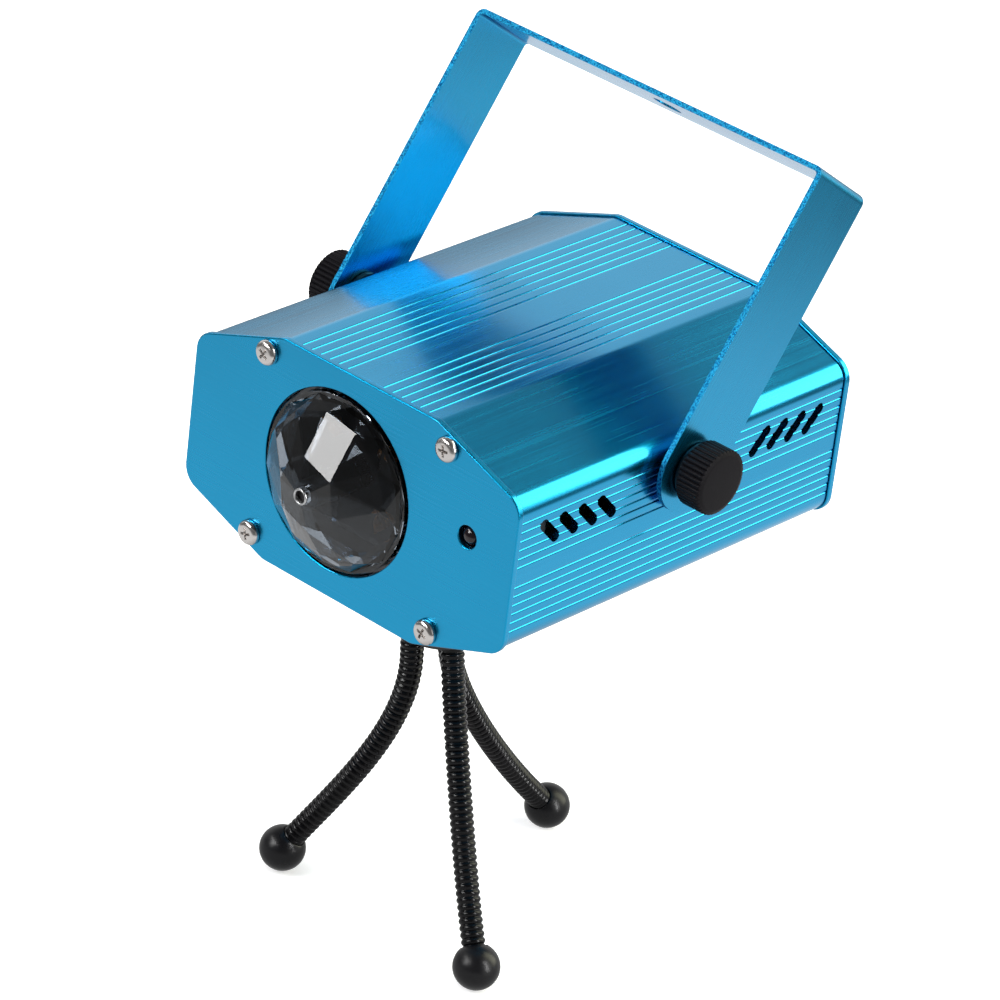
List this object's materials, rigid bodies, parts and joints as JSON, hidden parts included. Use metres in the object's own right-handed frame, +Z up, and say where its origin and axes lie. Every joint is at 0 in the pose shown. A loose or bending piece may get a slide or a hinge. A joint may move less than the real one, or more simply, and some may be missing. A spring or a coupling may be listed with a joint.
{
  "type": "water wave effect light",
  "caption": "Small ribbed aluminium effect light with a turning faceted lens, a tilting yoke with clamp knobs and a flexible-leg tabletop stand.",
  "frame": {"origin": "centre of the footprint at floor level, under the middle of the space the part takes up", "axes": "+Z up, -Y the way the lens faces, +X to the right seen from in front"},
  "size_m": [0.1138, 0.1174, 0.1829],
  "materials": {
    "blue_anodised": "satin brushed blue anodised",
    "black_plastic": "satin",
    "black_rubber": "satin",
    "zinc_steel": "bright zinc plated",
    "brass": "turned",
    "bare_aluminium": "plain",
    "clear_acrylic": "clear, polished facets",
    "green_board": "satin",
    "dark_board": "satin",
    "yellow_emitter": "clear over yellow",
    "dark_window": "gloss"
  },
  "bodies": {
    "housing": {"housing_extrusion": "blue_anodised", "front_plate": "blue_anodised", "rear_plate": "blue_anodised", "front_screw_1": "zinc_steel", "rear_screw_1": "zinc_steel", "front_screw_2": "zinc_steel", "rear_screw_2": "zinc_steel", "front_screw_3": "zinc_steel", "rear_screw_3": "zinc_steel", "front_screw_4": "zinc_steel", "rear_screw_4": "zinc_steel", "gear_motor": "bare_aluminium", "lamp_carrier": "bare_aluminium", "lamp_board": "dark_board", "light_emitter_1": "yellow_emitter", "light_emitter_2": "yellow_emitter", "light_emitter_3": "yellow_emitter", "light_emitter_4": "yellow_emitter", "remote_receiver": "dark_window", "control_board": "green_board", "board_capacitor": "black_plastic", "board_chip": "black_plastic", "power_inlet": "black_plastic", "button_switch": "black_plastic", "fan_frame": "black_plastic", "fan_screw_1": "zinc_steel", "fan_screw_2": "zinc_steel", "fan_screw_3": "zinc_steel", "fan_screw_4": "zinc_steel", "side_insert_right": "brass", "side_insert_left": "brass", "base_insert": "brass", "stand_screw": "zinc_steel"},
    "lens": {"lens_dome": "clear_acrylic", "drive_shaft": "zinc_steel"},
    "fan": {"fan_rotor": "black_plastic"},
    "button": {"mode_button": "black_plastic"},
    "yoke": {"yoke_bracket": "blue_anodised"},
    "right_washer": {"clamp_washer_right": "zinc_steel"},
    "right_knob": {"clamp_knob_right": "black_plastic", "clamp_stud_right": "zinc_steel"},
    "left_washer": {"clamp_washer_left": "zinc_steel"},
    "left_knob": {"clamp_knob_left": "black_plastic", "clamp_stud_left": "zinc_steel"},
    "stand": {"stand_head": "black_plastic", "stand_pad": "black_rubber"},
    "front_leg_upper": {"leg_front_upper": "black_rubber"},
    "front_leg_lower": {"leg_front_lower": "black_rubber", "foot_front": "black_plastic"},
    "rear_leg_upper": {"leg_rear_upper": "black_rubber"},
    "rear_leg_lower": {"leg_rear_lower": "black_rubber", "foot_rear": "black_plastic"},
    "left_leg_upper": {"leg_left_upper": "black_rubber"},
    "left_leg_lower": {"leg_left_lower": "black_rubber", "foot_left": "black_plastic"}
  },
  "joints": [
    {"name": "yoke_tilt", "type": "hinge", "parent": "housing", "child": "yoke", "pos_m": [0, 0.00335, 0.12209], "axis": [1, 0, 0], "range_deg": [-66, 114]},
    {"name": "right_knob_lift", "type": "slide", "parent": "housing", "child": "right_washer", "axis": [1, 0, 0], "range_m": [0, 0.0024]},
    {"name": "right_knob_turn", "type": "hinge", "parent": "right_washer", "child": "right_knob", "pos_m": [0, 0.00335, 0.12209], "axis": [1, 0, 0], "range_deg": [0, 1080]},
    {"name": "left_knob_lift", "type": "slide", "parent": "housing", "child": "left_washer", "axis": [-1, 0, 0], "range_m": [0, 0.0024]},
    {"name": "left_knob_turn", "type": "hinge", "parent": "left_washer", "child": "left_knob", "pos_m": [0, 0.00335, 0.12209], "axis": [-1, 0, 0], "range_deg": [0, 1080]},
    {"name": "lens_spin", "type": "hinge", "parent": "housing", "child": "lens", "pos_m": [-0.0034, -0.0421, 0.11179], "axis": [0, -1, 0], "continuous": true},
    {"name": "fan_spin", "type": "hinge", "parent": "housing", "child": "fan", "pos_m": [-0.021, 0.05025, 0.11129], "axis": [0, 1, 0], "continuous": true},
    {"name": "button_press", "type": "slide", "parent": "housing", "child": "button", "axis": [0, -1, 0], "range_m": [0, 0.0008], "stiffness_N_per_m": 1500, "springref_m": -0.0005},
    {"name": "stand_turn", "type": "hinge", "parent": "housing", "child": "stand", "pos_m": [0.0008, -0.01445, 0.08289], "axis": [0, 0, 1], "range_deg": [-170, 170]},
    {"name": "front_leg_root", "type": "hinge", "parent": "stand", "child": "front_leg_upper", "pos_m": [0.00618, -0.01559, 0.06574], "axis": [-0.4384, -0.8988, 0], "range_deg": [-12, 25]},
    {"name": "front_leg_bend", "type": "hinge", "parent": "front_leg_upper", "child": "front_leg_lower", "pos_m": [0.01927, -0.02198, 0.03443], "axis": [-0.4384, -0.8988, 0], "range_deg": [-20, 25]},
    {"name": "rear_leg_root", "type": "hinge", "parent": "stand", "child": "rear_leg_upper", "pos_m": [-0.0009, -0.00922, 0.06574], "axis": [0.9994, -0.0349, 0], "range_deg": [-12, 25]},
    {"name": "rear_leg_bend", "type": "hinge", "parent": "rear_leg_upper", "child": "rear_leg_lower", "pos_m": [-0.00034, 0.00665, 0.03288], "axis": [0.9994, -0.0349, 0], "range_deg": [-20, 25]},
    {"name": "left_leg_root", "type": "hinge", "parent": "stand", "child": "left_leg_upper", "pos_m": [-0.00288, -0.01854, 0.06574], "axis": [-0.4848, 0.8746, 0], "range_deg": [-12, 25]},
    {"name": "left_leg_bend", "type": "hinge", "parent": "left_leg_upper", "child": "left_leg_lower", "pos_m": [-0.00847, -0.02164, 0.03371], "axis": [-0.4848, 0.8746, 0], "range_deg": [-20, 25]}
  ],
  "couplings": [
    {"joint": "right_knob_turn", "follows": "right_knob_lift", "rad_per_m": 7854},
    {"joint": "left_knob_turn", "follows": "left_knob_lift", "rad_per_m": 7854}
  ]
}
